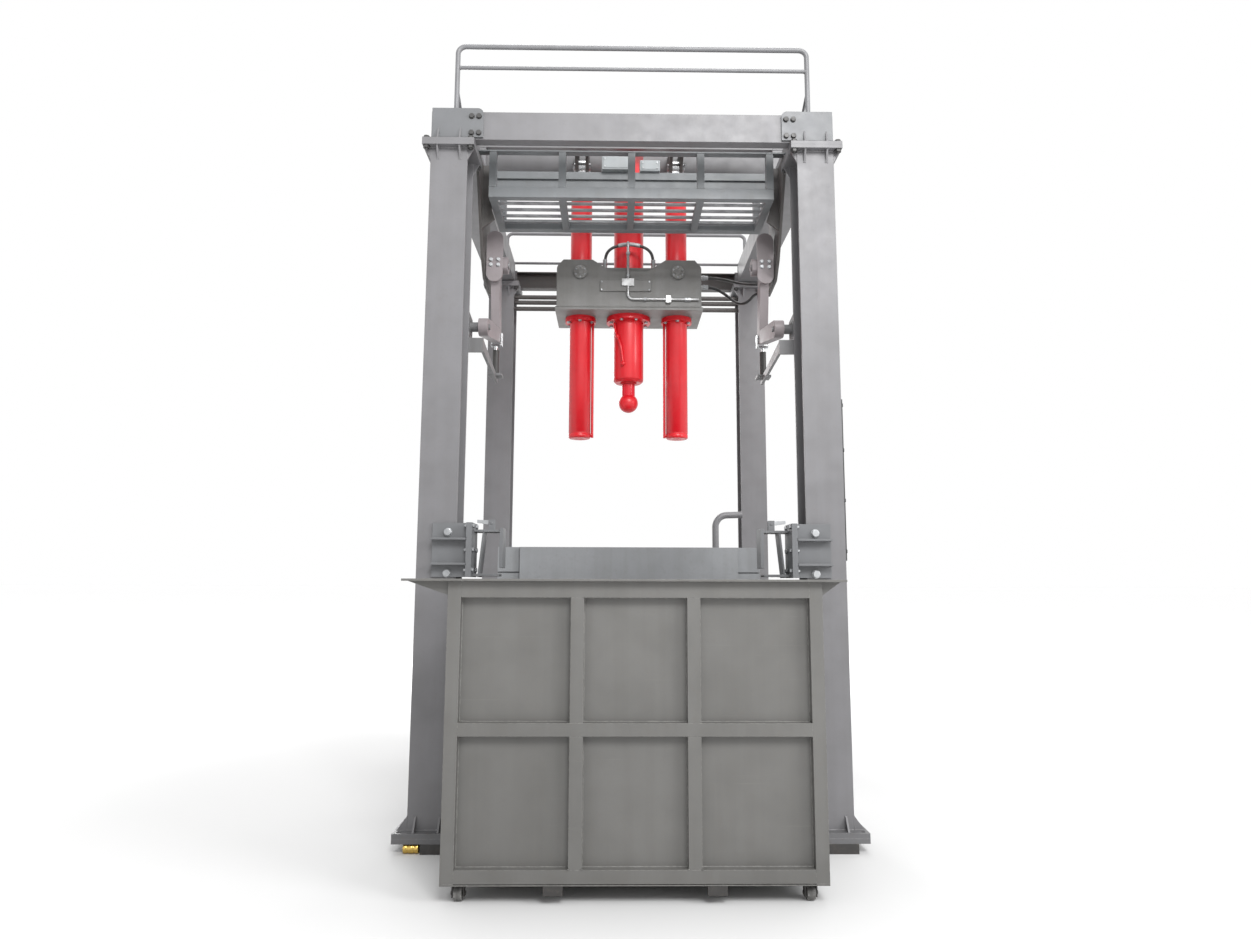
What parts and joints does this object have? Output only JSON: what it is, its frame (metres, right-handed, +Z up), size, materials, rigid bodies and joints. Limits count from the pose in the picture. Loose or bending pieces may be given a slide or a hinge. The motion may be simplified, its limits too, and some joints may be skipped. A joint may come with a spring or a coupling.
{
  "type": "vertical refuse compactor",
  "caption": "Tall hydraulic press frame with column feet, top girders, red cylinders on a sliding crosshead, catch arms and a roll-out steel container.",
  "frame": {"origin": "on the floor under the middle of the whole machine's footprint, container rolled out to the front", "axes": "+X to the right seen from the container, +Y to the back, away from the container's front, +Z up"},
  "size_m": [2.9, 4.015, 5.43],
  "materials": {
    "frame_paint": "satin grey industrial paint",
    "bolt_steel": "zinc plated",
    "brass": "worn brass",
    "dark_steel": "dark brown-grey primer",
    "rod_chrome": "hard chrome",
    "gallery_paint": "satin grey paint",
    "slat_grey": "galvanised flats",
    "rail_paint": "dark grey paint",
    "arm_paint": "light mauve-grey primer",
    "barrel_red": "gloss red enamel",
    "crosshead_paint": "grey paint",
    "gland_steel": "machined steel",
    "pipe_steel": "steel tube",
    "hose_rubber": "black hydraulic hose",
    "container_paint": "warm grey worn paint",
    "wheel_iron": "cast rollers",
    "latch_steel": "plated steel"
  },
  "bodies": {
    "frame": {"column_front_left": "frame_paint", "column_front_right": "frame_paint", "column_rear_left": "frame_paint", "column_rear_right": "frame_paint", "foot_plates": "frame_paint", "packing_blocks": "dark_steel", "levelling_roller": "brass", "gusset_plates": "frame_paint", "cap_plates": "frame_paint", "corner_posts": "frame_paint", "splice_plates": "frame_paint", "front_top_beam": "frame_paint", "rear_top_beam": "frame_paint", "side_top_beams": "frame_paint", "cylinder_girders": "frame_paint", "rod_clevises": "frame_paint", "clevis_pins": "dark_steel", "side_rods": "rod_chrome", "gallery_frame": "gallery_paint", "gallery_slats": "slat_grey", "valve_boxes": "gallery_paint", "front_guard_rail": "rail_paint", "rear_guard_rail": "rail_paint", "hanger_plates": "dark_steel", "arm_brackets": "dark_steel", "actuator_barrels": "barrel_red", "column_brackets": "frame_paint", "guide_brackets": "frame_paint", "frame_bolts": "bolt_steel", "hose_ports": "brass"},
    "crosshead": {"crosshead_block": "crosshead_paint", "crosshead_base_plate": "crosshead_paint", "saddle_plates": "crosshead_paint", "side_barrels": "barrel_red", "main_barrel": "barrel_red", "cylinder_glands": "gland_steel", "cylinder_flanges": "gland_steel", "flange_bolts": "bolt_steel", "barrel_pipes": "barrel_red", "front_oil_pipe": "pipe_steel", "bridge_hose": "hose_rubber", "supply_hose_upper": "hose_rubber", "supply_hose_lower": "hose_rubber"},
    "ram": {"main_rod": "rod_chrome", "ball_end": "gland_steel"},
    "container": {"container_shell": "container_paint", "container_rails": "container_paint", "container_ribs": "container_paint", "container_lip": "container_paint", "container_rear_beam": "container_paint", "hook_tube": "pipe_steel", "caster_forks": "dark_steel"},
    "front_wheelset": {"front_wheels": "wheel_iron"},
    "rear_wheelset": {"rear_wheels": "wheel_iron"},
    "arm_left": {"catch_arm_left": "arm_paint"},
    "arm_right": {"catch_arm_right": "arm_paint"},
    "actuator_left": {"actuator_rod_left": "gland_steel"},
    "actuator_right": {"actuator_rod_right": "gland_steel"},
    "latch_left": {"latch_lever_left": "latch_steel"},
    "latch_right": {"latch_lever_right": "latch_steel"}
  },
  "joints": [
    {"name": "crosshead_slide", "type": "slide", "parent": "frame", "child": "crosshead", "axis": [0, 0, -1], "range_m": [0, 0.65], "deforming": ["supply_hose_upper", "supply_hose_lower"]},
    {"name": "main_rod_slide", "type": "slide", "parent": "crosshead", "child": "ram", "axis": [0, 0, -1], "range_m": [0, 0.9]},
    {"name": "container_roll", "type": "slide", "parent": "frame", "child": "container", "axis": [0, 1, 0], "range_m": [0, 0.62]},
    {"name": "front_wheel_spin", "type": "hinge", "parent": "container", "child": "front_wheelset", "pos_m": [0, -1.8825, 0.038], "axis": [-1, 0, 0], "range_deg": [-5, 940]},
    {"name": "rear_wheel_spin", "type": "hinge", "parent": "container", "child": "rear_wheelset", "pos_m": [0, -0.1025, 0.038], "axis": [-1, 0, 0], "range_deg": [-5, 940]},
    {"name": "catch_arm_left_swing", "type": "hinge", "parent": "frame", "child": "arm_left", "pos_m": [-1.035, -0.7375, 3.4], "axis": [1, 0, 0], "range_deg": [0, 8]},
    {"name": "catch_arm_right_swing", "type": "hinge", "parent": "frame", "child": "arm_right", "pos_m": [1.035, -0.7375, 3.4], "axis": [1, 0, 0], "range_deg": [0, 8]},
    {"name": "actuator_left_stroke", "type": "slide", "parent": "frame", "child": "actuator_left", "axis": [0, 0, 1], "range_m": [-0.002, 0.09]},
    {"name": "actuator_right_stroke", "type": "slide", "parent": "frame", "child": "actuator_right", "axis": [0, 0, 1], "range_m": [-0.002, 0.09]},
    {"name": "latch_left_turn", "type": "hinge", "parent": "frame", "child": "latch_left", "pos_m": [-0.91, -0.9865, 2.007], "axis": [0, 1, 0], "range_deg": [0, 60]},
    {"name": "latch_right_turn", "type": "hinge", "parent": "frame", "child": "latch_right", "pos_m": [0.91, -0.9865, 2.007], "axis": [0, -1, 0], "range_deg": [0, 60]}
  ],
  "couplings": [
    {"joint": "front_wheel_spin", "follows": "container_roll", "rad_per_m": 26.316},
    {"joint": "rear_wheel_spin", "follows": "container_roll", "rad_per_m": 26.316},
    {"joint": "actuator_left_stroke", "follows": "catch_arm_left_swing", "m_per_rad": 0.61},
    {"joint": "actuator_right_stroke", "follows": "catch_arm_right_swing", "m_per_rad": 0.61}
  ]
}
